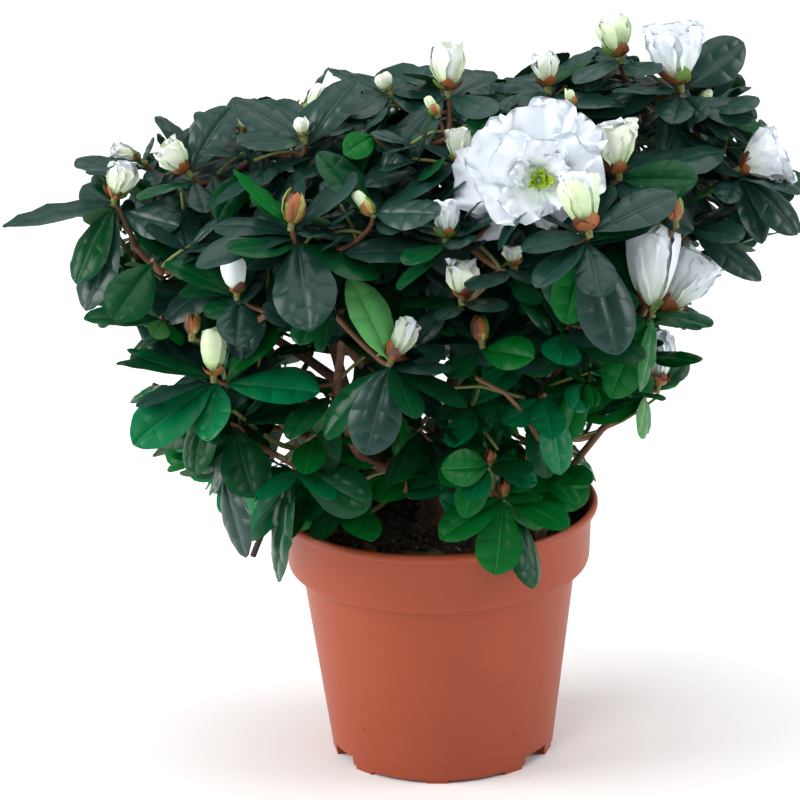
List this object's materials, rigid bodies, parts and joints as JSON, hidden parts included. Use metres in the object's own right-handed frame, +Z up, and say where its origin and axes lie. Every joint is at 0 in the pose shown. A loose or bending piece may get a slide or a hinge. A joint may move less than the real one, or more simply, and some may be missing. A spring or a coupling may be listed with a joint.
{
  "type": "potted azalea shrub",
  "caption": "Bushy potted azalea with dark oval leaves, white ruffled blooms and buds on forked woody stems, in a round terracotta-coloured pot.",
  "frame": {"origin": "centre of the pot's flat underside", "axes": "+Z up, the side seen in the picture faces -Y, +X to its right"},
  "size_m": [0.3191, 0.2741, 0.3178],
  "materials": {
    "pot_plastic": "satin moulded plastic, terracotta orange-brown",
    "potting_soil": "moist crumbly peat compost",
    "bark": "thin rough brown bark",
    "foliage": "leathery leaves with a soft sheen",
    "petals": "thin matt white petals"
  },
  "bodies": {
    "root": {"pot": "pot_plastic", "root_ball": "potting_soil", "trunk": "bark", "bough_low_left": "bark", "bough_low_front": "bark", "bough_low_right": "bark", "bough_low_back_right": "bark", "bough_low_back_left": "bark", "bough_mid_left": "bark", "bough_mid_front_left": "bark", "bough_mid_front_right": "bark", "bough_mid_right": "bark", "bough_mid_back_right": "bark", "bough_mid_back_left": "bark", "bough_top_left": "bark", "bough_top_front": "bark", "bough_top_right": "bark", "bough_top_back": "bark", "foliage_low_left": "foliage", "foliage_low_front": "foliage", "foliage_low_right": "foliage", "foliage_low_back_right": "foliage", "foliage_low_back_left": "foliage", "foliage_mid_left": "foliage", "foliage_mid_front_left": "foliage", "foliage_mid_front_right": "foliage", "foliage_mid_right": "foliage", "foliage_mid_back_right": "foliage", "foliage_mid_back_left": "foliage", "foliage_top_left": "foliage", "foliage_top_front": "foliage", "foliage_top_right": "foliage", "foliage_top_back": "foliage"}
  },
  "joints": []
}
